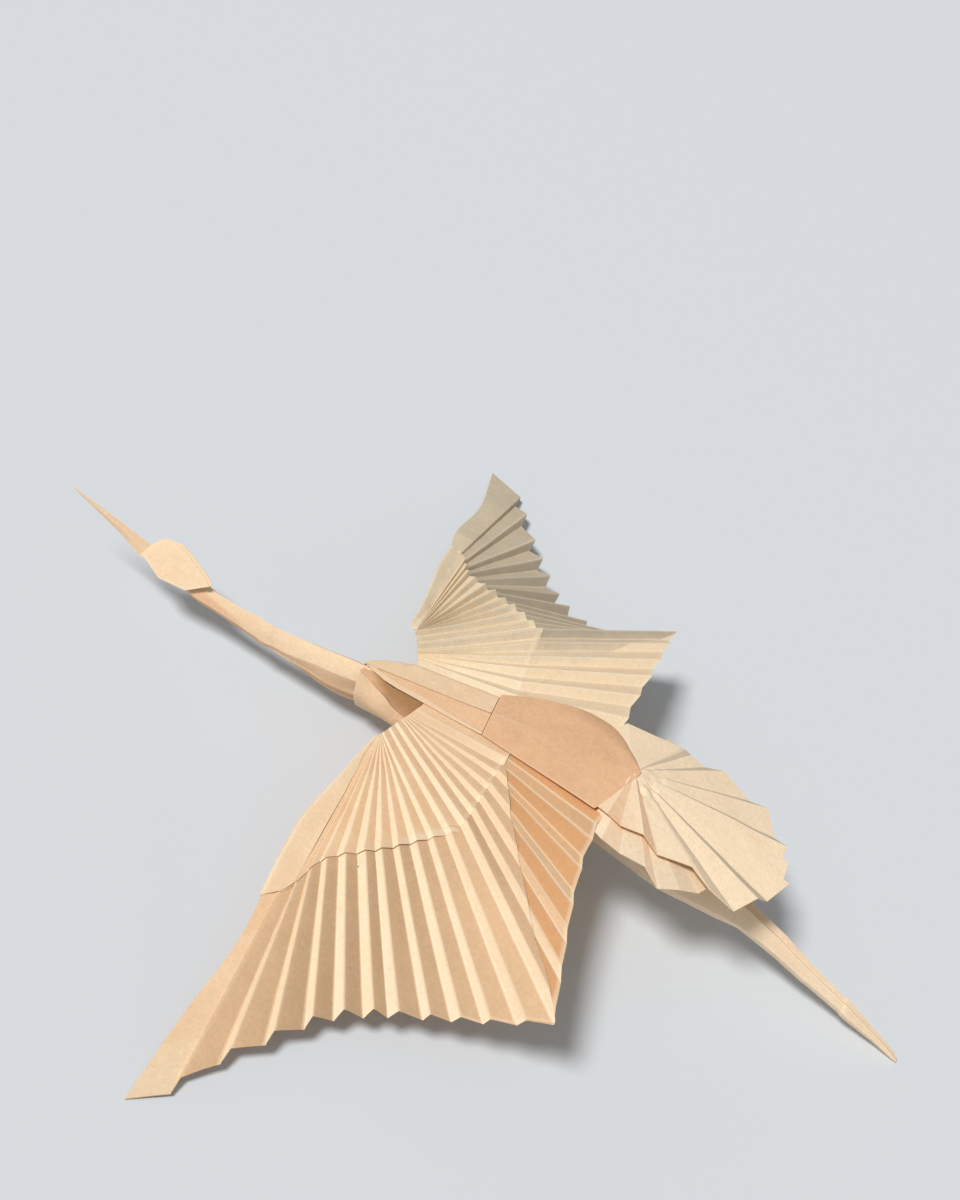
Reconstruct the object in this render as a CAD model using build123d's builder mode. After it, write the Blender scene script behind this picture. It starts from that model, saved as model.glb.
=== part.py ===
from build123d import *
import os
from math import atan2, cos, degrees, radians, sin

os.makedirs("parts", exist_ok=True)

# Folded crane, one sheet. Points are in the bird's own frame: X to the tail, Y to its right,
# Z up, zero where the neck meets the back. It is laid on wing tips and toes at the end.

# paper
sheet = 0.4              # pressed layers of wing and tail
wall = 0.8               # pressed layers of back and breast

# right wing, the left one is its mirror image
tip = Vector(-1.5, 166.5, -31)
first_tooth = Vector(11, 159, -31.5)
trail = Vector(27, 133.5, -28)
bend = Vector(54, 104.5, -27.2)
sag = Vector(74, 98, -25)
corner = Vector(98, 96, -11.8)
inner_mid = Vector(93, 56, -2.5)
inner_end = Vector(90, 15, 1.8)
crimp_lead = Vector(3.5, 95, -15.4)
crimp_turn = Vector(14.5, 78, -10)
crimp_mid = Vector(31, 66, -5)
crimp_corner = Vector(50, 51.5, 0.3)
crimp_end = Vector(53.5, 9, 1.2)
shoulder = Vector(11.3, 27, -0.4)
root_reach = 0.94        # the leading edge runs this far in from the crimp, to the shoulder
body_reach = 0.9         # and the edge at the body this far
rear_pleats = 12         # tip to corner
inner_pleats = 6         # corner to body
narrow = 0.3             # share of the pitch on the narrow face
open_from = 5            # pleats are thin and shallow at the leading edge, fully open from this one
spread = 0.65            # pleats grow wider toward the tip
bunch = 1.5              # pleat roots crowd together at the shoulder
root_lift = 0.15
crimp_lift = 0.55
edge_lift = 0.9
tooth_tip = 5.6          # notch depth at the wing tip
tooth_body = 1.2         # and at the body
tooth_fade = 4           # how soon the notches get shallow
crimp_step = 1.1
crimp_tuck = 2.5
wing_shift = 3.1         # left wing sits this much further back, the right one forward
wing_yaw = -1.4

# leading strip, outer edge and inner edge
strip = 1.0
strip_end = 2            # the strip covers this many pleats where it ends, at the crimp
lead_body = (Vector(16, 4, 0.2), Vector(21, 4.5, 0.5))
lead_shoulder = (Vector(8.6, 27, -0.6), Vector(12.5, 27, -0.3))
lead_elbow = (Vector(7, 47, -4), Vector(12, 47, -3.7))
lead_bow = (Vector(3.7, 66, -8), Vector(11.8, 65, -7.2))

# back and breast: X, width of the back to the left and to the right of its ridge, then half width
# and depth of the flank crease
back_outline = [(-1, 3.6, 3.6, 4.8, 4), (7, 4.2, 8.4, 8.8, 3), (17, 4.8, 11.2, 10.2, 2.8),
                (25, 6, 11.4, 9.8, 3.6), (45, 9.5, 11.5, 9, 6), (45.6, 9.8, 12, 9, 6),
                (56, 12.6, 17, 9.6, 7), (75, 17.8, 20.8, 11, 7), (91, 22, 13, 12.5, 7), (98, 5, 3, 6, 7)]
back_end = 98
ridge_rise = 5.4
crown = 0.07             # slope of the back, from the ridge to its edges
lap = 0.5                # rear panel over front panel
lap_at = 45.3
keel_front = 18.4
keel_fall = 0.08
seam = 0.4               # half gap where the belly edges meet

# neck: X, ridge, half width, shoulder, underside
neck_base = (8, 0.2, 3.4, -4.6, -15)
neck_mouth = (-1, 0.3, 3.8, -4.8, -17.4)
neck_bulge = (-16, -0.1, 3.8, -5.3, -15.5)
neck_pinch = (-36, -0.4, 2.8, -6.4, -9.7)
neck_bend = (-50, 1.2, 2.6, -3.2, -6.8)
neck_nape = (-66, 3.9, 2.4, -0.4, -3.1)
neck_top = (-72, 7.8, 2.2, 3.6, 1)

# head, a flat flap that faces left and up, and bill
head_middle = (-71.5, 0, 7.5)
head_lean = 40
head_outline = [(-12.9, -1.2), (-10.6, 3.4), (-8.4, 6.1), (-2, 7), (2.7, 5.2),
                (10.3, 0.7), (13.2, -1.7), (5.5, -6.7), (-4.4, -6.5), (-8.1, -4.3)]
head_layer = 0.8         # two layers, the right one set a little up and back
head_back = 0.7
head_up = 0.5
bill_base = (-82, 11.8, 1.5, 7.8, 3.9)
bill_tip = (-112.6, 21.2, 0.3, 20.9, 20.6)

# tail, one fan over another: pleats, reach behind and to the sides, roundness of the outline
pivot = Vector(95.5, 0, 5.3)
upper_count = 14
upper_behind = 62
upper_beside = 23
upper_round = 3.2
lower_count = 8
lower_behind = 46
lower_beside = 28
lower_round = 1.2
lower_drop = 2           # lower fan below the upper one
tail_swing = 1           # the fans lie a little to the right
tail_turn = 112          # outermost crease from the tail's middle line
tail_narrow = 0.2        # share of the pitch on the narrow face
tail_tooth = 2.5         # notch depth at the end of a valley
tail_fall = 0.18
tail_side_fall = 0.12
tail_lift = 0.013        # height of a fold line, share of its length
tail_root = 2.0

# legs: X, ridge, half width, side edge, underside
leg_base = (84, -6, 12, -13, -25)
leg_stern = (97, -9, 11.5, -18, -28)
leg_knee = (120, -19, 8.5, -29.5, -36)
leg_shin = (150, -29, 4.6, -35.5, -39.5)
leg_ankle = (197, -53.8, 2.6, -56.4, -59.5)
toe = (222.4, -69.6, 0.7, -70.3, -71)
leg_groove = 0.12        # groove between the legs, share of their depth


def edge_through(*points):
    """Smooth edge through the points, straight through two."""
    with BuildLine() as path:
        if len(points) == 2:
            Line(*points)
        else:
            Spline(*points)
    return path.edge()


def ring(*points):
    """Closed outline in space, one station of a folded panel."""
    with BuildLine() as outline:
        Polyline(*points, close=True)
    return outline.wire()


def root_point(place):
    """Pleat root: the leading edge's own, then from the shoulder to the body."""
    if place < 1:
        return root_lead
    return shoulder + (root_body - shoulder) * ((place - 1) / (pleats - 1)) ** bunch


def crimp_point(place):
    """Where a fold line crosses the crimp."""
    if place > rear_pleats:
        return crimp_inner @ ((place - rear_pleats) / inner_pleats)
    return crimp_rear @ (place / rear_pleats)


def rear_point(place):
    """Pleat end on the rear edge: the tip, then wider pleats first."""
    if place < 1:
        return tip
    if place > rear_pleats:
        return inner_edge @ ((place - rear_pleats) / inner_pleats)
    run = (place - 1) / (rear_pleats - 1)
    return rear_edge @ (run + spread * run * (1 - run) ** 2)


pleats = rear_pleats + inner_pleats
root_lead = crimp_lead + (crimp_lead - tip) * root_reach
root_body = crimp_end + (crimp_end - inner_end) * body_reach
rear_edge = edge_through(first_tooth, trail, bend, sag, corner)
inner_edge = edge_through(corner, inner_mid, inner_end)
crimp_rear = edge_through(crimp_lead, crimp_turn, crimp_mid, crimp_corner)
crimp_inner = edge_through(crimp_corner, crimp_end)
down = Vector(0, 0, -1)


def wing_crease(place, side):
    """One fold line from root to rear edge, side up to +1 a ridge, down to -1 a valley, with its crimp."""
    root = root_point(place) - down * root_lift * side
    crimp = crimp_point(place) - down * crimp_lift * side
    end = rear_point(place)
    notch = tooth_body + (tooth_tip - tooth_body) * (1 - place / pleats) ** tooth_fade
    if side > 0:
        end += (crimp - end).normalized() * notch
    end -= down * edge_lift * side
    tuck = crimp + (root - crimp).normalized() * crimp_tuck
    return ring(root, crimp, crimp + down * crimp_step, end,
                end + down * sheet, tuck + down * (crimp_step + sheet),
                tuck + down * sheet, root + down * sheet)


creases = [wing_crease(0, 0)]
for number in range(1, pleats):
    opened = min(number / open_from, 1)
    creases.append(wing_crease(number, -opened))
    creases.append(wing_crease(number + narrow * opened, opened))
creases.append(wing_crease(pleats, 0))

lead_crimp = (crimp_lead, crimp_point(strip_end))
strips = []
for outer, inner in (lead_body, lead_shoulder, lead_elbow, lead_bow, lead_crimp):
    half = down * (strip / 2)
    strips.append(ring(outer - half, inner - half, inner + half, outer + half))

with BuildPart() as wing:
    add(Solid.make_loft(creases, True))
    add(Solid.make_loft(strips, True))

with BuildPart() as body:
    for x, left, right, flank, fall in back_outline:
        ridge = ridge_rise * x / back_end + (lap if x > lap_at else 0)
        keel = -keel_front - keel_fall * x
        thin = wall * 2
        with BuildSketch(Plane.YZ.offset(x)):
            with BuildLine():
                Polyline((seam, keel), (flank, -fall), (right, ridge - crown * right), (0, ridge),
                         (-left, ridge - crown * left), (-flank, -fall), (-seam, keel),
                         (-seam, keel + thin), (wall - flank, -fall),
                         (thin - left, ridge - crown * (left - thin) - wall), (0, ridge - wall),
                         (right - thin, ridge - crown * (right - thin) - wall), (flank - wall, -fall),
                         (seam, keel + thin), close=True)
            make_face()
    loft(ruled=True)


def spike(*stations):
    """Ruled folded tube through diamond stations."""
    with BuildPart() as tube:
        for x, ridge, half_width, side_edge, under in stations:
            with BuildSketch(Plane.YZ.offset(x)):
                with BuildLine():
                    Polyline((0, ridge), (half_width, side_edge), (0, under), (-half_width, side_edge),
                             close=True)
                make_face()
        loft(ruled=True)
    return tube.part


with BuildPart() as legs:
    for x, ridge, half_width, side_edge, under in (leg_base, leg_stern, leg_knee, leg_shin, leg_ankle, toe):
        groove = leg_groove * (ridge - under)
        with BuildSketch(Plane.YZ.offset(x)):
            with BuildLine():
                Polyline((0, ridge - groove), (half_width / 2, ridge), (half_width, side_edge),
                         (half_width / 2, under), (0, under + groove), (-half_width / 2, under),
                         (-half_width, side_edge), (-half_width / 2, ridge), close=True)
            make_face()
    loft(ruled=True)

with BuildPart() as head:
    lean = radians(head_lean)
    flap = Plane(head_middle, (1, 0, 0), (0, -cos(lean), sin(lean)))
    for back, up, layer in ((0, 0, head_layer), (head_back, head_up, -head_layer)):
        with BuildSketch(flap.shift_origin(flap.from_local_coords((back, up, 0)))):
            with BuildLine():
                Polyline(*head_outline, close=True)
            make_face()
        extrude(amount=layer)
    add(spike(bill_base, bill_tip))


def tail_crease(place, side, count, behind, beside, rounding, drop):
    """One fold line of a fan at a pleat number, left to right, side +1 a ridge and -1 a valley."""
    turn = tail_turn * (2 * place / count - 1)
    swung = radians(turn + tail_swing)
    way = Vector(cos(swung), sin(swung), 0)
    forward = max(cos(radians(turn)), 0)
    reach = beside + (behind - beside) * forward ** rounding - tail_tooth * max(-side, 0)
    slope = tail_side_fall + tail_fall * forward
    root = pivot + way * tail_root + down * (drop + slope * tail_root)
    end = pivot + way * reach + down * (drop + slope * reach - tail_lift * side * reach)
    return ring(root, end, end + down * sheet, root + down * sheet)


with BuildPart() as tail:
    upper_fan = (upper_count, upper_behind, upper_beside, upper_round, 0)
    lower_fan = (lower_count, lower_behind, lower_beside, lower_round, lower_drop)
    for fan in (upper_fan, lower_fan):
        count = fan[0]
        folds = [tail_crease(0, 0, *fan)]
        for number in range(1, count):
            folds.append(tail_crease(number, 1, *fan))
            folds.append(tail_crease(number + tail_narrow, -1, *fan))
        folds.append(tail_crease(count, 0, *fan))
        add(Solid.make_loft(folds, True))

with BuildPart() as bird:
    add(body.part)
    add(spike(neck_base, neck_mouth, neck_bulge, neck_pinch, neck_bend, neck_nape, neck_top))
    add(head.part)
    add(legs.part)
    add(tail.part)
    with Locations(Location((-wing_shift, 0, 0), (0, 0, wing_yaw))):
        add(wing.part)
    with Locations(Location((wing_shift, 0, 0), (0, 0, wing_yaw))):
        add(wing.part.mirror(Plane.XZ))

# laid down on both wing tips and the toes
pitch = degrees(atan2(tip.Z - sheet - toe[4], toe[0] - tip.X))
laid = bird.part.rotate(Axis.Y, -pitch)
box = laid.bounding_box()
with BuildPart() as crane:
    with Locations((-box.center().X, -box.center().Y, -box.min.Z)):
        add(laid)

crane.part.label = "crane"
export_step(crane.part, "parts/crane.step")
print("crane", len(crane.part.solids()), round(crane.part.volume), crane.part.bounding_box().size)
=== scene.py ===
from math import cos, radians, sin

import bpy
import numpy as np
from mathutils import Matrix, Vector


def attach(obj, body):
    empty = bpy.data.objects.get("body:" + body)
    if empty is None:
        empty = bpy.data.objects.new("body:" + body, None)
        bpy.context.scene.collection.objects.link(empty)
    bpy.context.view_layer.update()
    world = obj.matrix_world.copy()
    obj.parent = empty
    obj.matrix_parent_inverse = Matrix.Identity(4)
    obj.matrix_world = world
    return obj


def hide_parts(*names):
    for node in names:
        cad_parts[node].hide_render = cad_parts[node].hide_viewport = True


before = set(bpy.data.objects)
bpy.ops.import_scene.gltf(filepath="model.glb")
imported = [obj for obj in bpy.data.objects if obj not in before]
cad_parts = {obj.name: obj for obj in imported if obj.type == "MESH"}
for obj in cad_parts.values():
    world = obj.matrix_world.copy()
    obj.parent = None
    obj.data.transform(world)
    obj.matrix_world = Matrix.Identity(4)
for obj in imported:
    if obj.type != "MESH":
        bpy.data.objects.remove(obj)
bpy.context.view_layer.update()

# All shapes are worked out in the bird's own frame, in millimetres: X to the tail, Y to its right, Z up.
placing = {
    "pitchDeg": 10.0299,                     # tipped to lie on wing tips and toes
    "shiftMm": (-58.3976, -0.0366, 31.3499),
}


def toRow(points):  # turn about Y, shift, then millimetres to metres
    a = radians(placing["pitchDeg"])
    x, y, z = np.moveaxis(np.asarray(points, float), -1, 0)
    turned = np.stack([x * cos(a) - z * sin(a), y, x * sin(a) + z * cos(a)], -1)
    return (turned + np.array(placing["shiftMm"])) / 1000


def curveThrough(points, share):  # natural cubic through the points, share 0 to 1 along their chords
    p = np.asarray(points, float)
    h = np.linalg.norm(np.diff(p, axis=0), axis=1)
    knots = np.concatenate([[0], np.cumsum(h)])
    bend = np.zeros_like(p)
    if len(p) > 2:
        system = np.diag(2 * (h[:-1] + h[1:])) + np.diag(h[1:-1], 1) + np.diag(h[1:-1], -1)
        slopes = np.diff(p, axis=0) / h[:, None]
        bend[1:-1] = np.linalg.solve(system, 6 * np.diff(slopes, axis=0))
    s = np.clip(share, 0, 1) * knots[-1]
    i = np.clip(np.searchsorted(knots, s, side="right") - 1, 0, len(h) - 1)
    span, left = h[i][:, None], (s - knots[i])[:, None]
    right = span - left
    return (bend[i] * right ** 3 / (6 * span) + bend[i + 1] * left ** 3 / (6 * span)
            + (p[i] / span - bend[i] * span / 6) * right + (p[i + 1] / span - bend[i + 1] * span / 6) * left)


def lineThrough(stops, values, at):  # straight between stops, for one or more columns of values
    values = np.asarray(values, float)
    if values.ndim == 1:
        return np.interp(at, stops, values)
    return np.stack([np.interp(at, stops, column) for column in values.T], -1)


def ripple(points, seed, size, height):
    # slow hand-made unevenness: the mean of five sine waves with seeded ways and starts
    rng = np.random.default_rng(seed)
    ways = rng.normal(size=(5, 3))
    ways /= np.linalg.norm(ways, axis=1)[:, None] * size * rng.uniform(0.7, 1.5, 5)[:, None]
    starts = rng.uniform(0, 6.283, 5)
    return height * np.sin(2 * np.pi * np.asarray(points) @ ways.T + starts).mean(-1)


def quadsOf(index):  # the four corners of each cell in a grid of point numbers
    return np.stack([index[:-1, :-1], index[:-1, 1:], index[1:, 1:], index[1:, :-1]], -1).reshape(-1, 4)


def patch(grid, pliesAndShade=1.0, crease=0.0, wrap=False, caps=False, flip=False):
    # one sheet or tube: a grid of points with a tone value (paper layers, and on many faces painted shade)
    # and fold wear at each point
    grid = np.asarray(grid, float)
    shape = grid.shape[:2]
    return {
        "grid": grid, "pliesAndShade": np.broadcast_to(pliesAndShade, shape), "crease": np.broadcast_to(crease, shape),
        "wrap": wrap, "caps": caps, "flip": flip,
    }


def makePiece(name, patches, material, thickMm=None, sharpDeg=9):
    # grids become quads by index arithmetic, sheets get their thickness from Solidify
    points, pliesAndShade, crease, faces, start = [], [], [], [], 0
    for part in patches:
        rows, columns = part["grid"].shape[:2]
        index = start + np.arange(rows * columns).reshape(rows, columns)
        if part["wrap"]:
            index = np.concatenate([index, index[:, :1]], 1)
        quads = quadsOf(index)
        if part["flip"]:
            quads = quads[:, ::-1]
        faces += quads.tolist()
        if part["caps"]:
            ends = [index[0, :columns][::-1].tolist(), index[-1, :columns].tolist()]
            faces += [end[::-1] for end in ends] if part["flip"] else ends
        points.append(part["grid"].reshape(-1, 3))
        pliesAndShade.append(part["pliesAndShade"].ravel())
        crease.append(part["crease"].ravel())
        start += rows * columns
    mesh = bpy.data.meshes.new(name)
    mesh.from_pydata(toRow(np.concatenate(points)).tolist(), [], faces)
    mesh.update(calc_edges=True)
    for label, values in (("pliesAndShade", pliesAndShade), ("crease", crease)):
        layer = mesh.attributes.new(label, "FLOAT", "POINT")
        layer.data.foreach_set("value", np.concatenate(values).astype(np.float32))
    mesh.shade_smooth()
    mesh.set_sharp_from_angle(angle=radians(sharpDeg))
    edgeOfLoop = np.zeros(len(mesh.loops), np.int32)
    mesh.loops.foreach_get("edge_index", edgeOfLoop)
    free = np.bincount(edgeOfLoop, minlength=len(mesh.edges)) == 1
    sharp = mesh.attributes.get("sharp_edge") or mesh.attributes.new("sharp_edge", "BOOLEAN", "EDGE")
    flags = np.zeros(len(mesh.edges), bool)
    sharp.data.foreach_get("value", flags)
    sharp.data.foreach_set("value", flags | free)
    mesh.materials.append(material)
    piece = bpy.data.objects.new(name, mesh)
    bpy.context.scene.collection.objects.link(piece)
    if thickMm:
        wall = piece.modifiers.new("paper thickness", "SOLIDIFY")
        wall.thickness = thickMm / 1000
        wall.offset = -1
    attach(piece, "root")
    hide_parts("crane")
    print("made", name, len(mesh.polygons), "faces")
    return piece


# Paper: one fibre group for all weights of paper. The plies-and-shade value (paper layers, and on many faces
# painted shade) picks its tone, 0 to 4 through these five; the darker tones often stand for painted shade.
paperTones = ("Thin", "Pale", "Tan", "Deep", "Russet")
paperFibre = {
    "cloudScale": 55, "blotchScale": 300, "grainScale": 850,                  # about 2 cm, 3 mm and 1 mm
    "acrossStretch": (240, 1700, 900), "acrossTurn": (0, 0, 0.5),             # two directions of long fibres
    "alongStretch": (1900, 260, 900), "alongTurn": (0.2, 0, -0.3),
    "speckScale": 75, "speckSize": 0.022, "speckFrom": 0.72, "speckColor": (0.16, 0.09, 0.05, 1),
    "blotchShare": 0.6, "lineMiddle": 0.1, "wornShare": 0.55, "roughLow": 0.66, "roughSpan": 0.2,
    "lineHeight": 1.6, "cloudHeight": 1.2, "bumpDistance": 0.0004, "specular": 0.22, "sheen": 0.06,
}


def paperFibreGroup():
    group = bpy.data.node_groups.new("paperFibre", "ShaderNodeTree")
    group.interface.new_socket("Vector", in_out="INPUT", socket_type="NodeSocketVector")
    for label in paperTones + ("Worn",):
        group.interface.new_socket(label, in_out="INPUT", socket_type="NodeSocketColor")
    for label in ("Pliesandshade", "Crease", "Mottle", "Grain", "Specks"):
        group.interface.new_socket(label, in_out="INPUT", socket_type="NodeSocketFloat")
    for label, kind in (("Color", "Color"), ("Roughness", "Float"), ("Height", "Float")):
        group.interface.new_socket(label, in_out="OUTPUT", socket_type="NodeSocket" + kind)
    nodes, links = group.nodes, group.links
    take = nodes.new("NodeGroupInput")
    give = nodes.new("NodeGroupOutput")

    def math(operation, a, b=None, clamp=False):
        node = nodes.new("ShaderNodeMath")
        node.operation, node.use_clamp = operation, clamp
        for socket, value in zip(node.inputs, (a, b)):
            if value is None:
                continue
            if isinstance(value, (int, float)):
                socket.default_value = value
            else:
                links.new(value, socket)
        return node.outputs[0]

    def noise(scale, detail, rough, stretch=None, turn=(0, 0, 0)):
        vector = take.outputs["Vector"]
        if stretch:
            mapping = nodes.new("ShaderNodeMapping")
            mapping.inputs["Scale"].default_value = stretch
            mapping.inputs["Rotation"].default_value = turn
            links.new(vector, mapping.inputs["Vector"])
            vector = mapping.outputs["Vector"]
        node = nodes.new("ShaderNodeTexNoise")
        node.inputs["Scale"].default_value = scale
        node.inputs["Detail"].default_value = detail
        node.inputs["Roughness"].default_value = rough
        links.new(vector, node.inputs["Vector"])
        return node.outputs["Fac"]

    def mix(factor, a, b, blend="MIX"):
        node = nodes.new("ShaderNodeMix")
        node.data_type, node.blend_type = "RGBA", blend
        for socket, value in ((node.inputs[0], factor), (node.inputs[6], a), (node.inputs[7], b)):
            if isinstance(value, (int, float, tuple)):
                socket.default_value = value
            else:
                links.new(value, socket)
        return node.outputs[2]

    def centred(value, middle=0.5):
        return math("SUBTRACT", value, middle)

    look = paperFibre
    cloud = noise(look["cloudScale"], 3, 0.55)                                 # pulp clouds
    blotch = noise(look["blotchScale"], 2, 0.5)                                # smaller blotches
    grain = noise(look["grainScale"], 3, 0.6)                                  # fine tooth
    across = noise(1, 2, 0.5, look["acrossStretch"], look["acrossTurn"])
    along = noise(1, 2, 0.5, look["alongStretch"], look["alongTurn"])
    lines = math("MAXIMUM", math("ABSOLUTE", centred(across)), math("ABSOLUTE", centred(along)))
    cells = nodes.new("ShaderNodeTexVoronoi")
    cells.inputs["Scale"].default_value = look["speckScale"]
    links.new(take.outputs["Vector"], cells.inputs["Vector"])
    split = nodes.new("ShaderNodeSeparateColor")
    links.new(cells.outputs["Color"], split.inputs[0])
    dot = math("LESS_THAN", cells.outputs["Distance"], look["speckSize"])
    chosen = math("GREATER_THAN", split.outputs[0], look["speckFrom"])
    speck = math("MULTIPLY", math("MULTIPLY", dot, chosen), take.outputs["Specks"])

    uneven = math("ADD", centred(cloud), math("MULTIPLY", centred(blotch), look["blotchShare"]))
    clouded = math("MULTIPLY", uneven, take.outputs["Mottle"])
    toneLevel = math("ADD", take.outputs["Pliesandshade"], clouded)
    # tones stepped by the plies-and-shade value, so the painted shade it carries becomes darker tones
    tone = take.outputs[paperTones[0]]
    for step, label in enumerate(paperTones[1:]):
        tone = mix(math("SUBTRACT", toneLevel, float(step), True), tone, take.outputs[label])
    tooth = math("ADD", centred(grain), centred(lines, look["lineMiddle"]))
    toned = math("MULTIPLY", tooth, take.outputs["Grain"])
    shade = nodes.new("ShaderNodeCombineColor")
    level = math("ADD", toned, 1.0)
    for socket in shade.inputs[:3]:
        links.new(level, socket)
    tone = mix(1.0, tone, shade.outputs[0], "MULTIPLY")
    tone = mix(math("MULTIPLY", take.outputs["Crease"], look["wornShare"], True), tone, take.outputs["Worn"])
    tone = mix(speck, tone, look["speckColor"])
    links.new(tone, give.inputs["Color"])
    rough = math("ADD", math("MULTIPLY", grain, look["roughSpan"]), look["roughLow"])
    links.new(rough, give.inputs["Roughness"])
    height = math("ADD", grain, math("MULTIPLY", lines, look["lineHeight"]))
    height = math("ADD", height, math("MULTIPLY", cloud, look["cloudHeight"]))
    links.new(height, give.inputs["Height"])
    return group


def paperMaterial(name, look):
    material = bpy.data.materials.new(name)
    material.use_nodes = True
    nodes, links = material.node_tree.nodes, material.node_tree.links
    shader = nodes["Principled BSDF"]
    fibre = nodes.new("ShaderNodeGroup")
    fibre.node_tree = fibreGroup
    place = nodes.new("ShaderNodeTexCoord")
    links.new(place.outputs["Object"], fibre.inputs["Vector"])
    for label in ("pliesAndShade", "crease"):
        layer = nodes.new("ShaderNodeAttribute")
        layer.attribute_name = label
        links.new(layer.outputs["Fac"], fibre.inputs[label.capitalize()])
    for label in paperTones + ("Worn", "Mottle", "Grain", "Specks"):
        fibre.inputs[label].default_value = look[label]
    bump = nodes.new("ShaderNodeBump")
    bump.inputs["Strength"].default_value = look["bump"]
    bump.inputs["Distance"].default_value = paperFibre["bumpDistance"]
    links.new(fibre.outputs["Height"], bump.inputs["Height"])
    links.new(fibre.outputs["Color"], shader.inputs["Base Color"])
    links.new(fibre.outputs["Roughness"], shader.inputs["Roughness"])
    links.new(bump.outputs["Normal"], shader.inputs["Normal"])
    shader.inputs["Specular IOR Level"].default_value = paperFibre["specular"]
    shader.inputs["Sheen Weight"].default_value = paperFibre["sheen"]
    return material


# thin paper: Thin is painted shade on the far wing; Deep and Russet give the near wing's wide pleat faces
# paper layers and painted shade
thinLook = {
    "Thin": (0.50, 0.42, 0.31, 1), "Pale": (0.91, 0.73, 0.50, 1), "Tan": (0.81, 0.53, 0.31, 1),
    "Deep": (0.58, 0.38, 0.22, 1), "Russet": (0.78, 0.41, 0.19, 1), "Worn": (0.94, 0.80, 0.58, 1),
    "Mottle": 0.5, "Grain": 0.26, "Specks": 0.8, "bump": 0.25,
}
# thick paper: Deep and Russet are painted shade on the hood recess under the flap, the neck's underside and
# the rolled edge of the rear panel
thickLook = {
    "Thin": (0.70, 0.56, 0.40, 1), "Pale": (0.89, 0.67, 0.44, 1), "Tan": (0.82, 0.50, 0.29, 1),
    "Deep": (0.45, 0.24, 0.105, 1), "Russet": (0.40, 0.20, 0.08, 1), "Worn": (0.94, 0.76, 0.53, 1),
    "Mottle": 0.5, "Grain": 0.28, "Specks": 0.5, "bump": 0.3,
}
# pale paper: Thin is painted shade on the tail's narrow faces and its lower fan
paleLook = {
    **thickLook,
    "Thin": (0.62, 0.49, 0.35, 1), "Pale": (0.96, 0.76, 0.53, 1), "Worn": (0.97, 0.82, 0.60, 1),
}
fibreGroup = paperFibreGroup()
thinPaper = paperMaterial("thinPaper", thinLook)
thickPaper = paperMaterial("thickPaper", thickLook)
palePaper = paperMaterial("palePaper", paleLook)
print("paper ready")

# Wings. A pleat number runs 0 to 18 across the folds, tip to corner to body. Each fold line starts at
# the shoulder, runs to the crimp, tucks back under it and goes on to the rear edge. Teeth are shares of
# that edge. Points are those of a right wing; the near one is mirrored.
wingFold = {
    "rearPleats": 12, "innerPleats": 6, "openFrom": 5,
    "rootLift": 0.15, "crimpLift": 0.55, "edgeLift": 0.9, "bow": 1.3, "uneven": 0.35,
    "tuck": [(11.6, 2.2), (12.4, 0.6)], "step": [(11.6, 0.4), (12.4, 0.1)],    # only creased near the body
    "roots": [(1, 0), (10, 0.06), (11.5, 0.26), (13, 0.46), (17, 0.6), (18, 1)],    # share of the root line
    # faceShadeContrast fades the painted shade between narrow and wide faces toward the tip
    "faceShadeContrast": [(1.5, 0.35), (5, 1)],                                         # tones are even at the tip
    "placeJitter": 0.035, "liftJitter": 0.16, "yawDeg": -1.4,
    "seam": [(12.1, 1), (12.5, 0.877), (12.8, 0.725), (13.6, 0.55), (15, 0.28), (17, 0.02), (18, 0)],
    "seamSharp": 60, "overFrom": 9, "overRise": 3.2, "overPower": 1.5, "overGap": 0.03, "overWear": 0.6,
    "crimpWear": [(8, 0.35), (9.5, 0.9)], "edgeWear": 0.8, "foldWidth": 0.05,
    "evenTo": 15, "evenInner": 3, "beyondFrom": 13, "beyondShare": 0.75,       # where tones even out
    "fine": 0.12, "fineSize": 13, "unevenSize": 38,                            # waviness of the sheets
    "stripLift": 0.28, "stripCuts": (0.22, 0.74), "stripWave": 0.25, "stripWear": 0.7,
    "stripAcross": (0, 0.02, 0.06, 0.14, 0.3, 0.5, 0.7, 0.88, 1),
    "stripHeight": (-0.2, 0, 0.2, 0.32, 0.4, 0.44, 0.44, 0.42, 0.38),
    "stripPleats": [(0, 0.2), (0.15, 0.7), (0.4, 1.6), (1, 2.05)],             # how many the strip covers
    "narrowCuts": (0, 0.17, 0.5, 0.83), "wideCuts": (0, 0.07, 0.22, 0.38, 0.54, 0.7, 0.86),
    "innerRows": 30, "outerRows": 46, "paperMm": 0.25,
}
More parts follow.
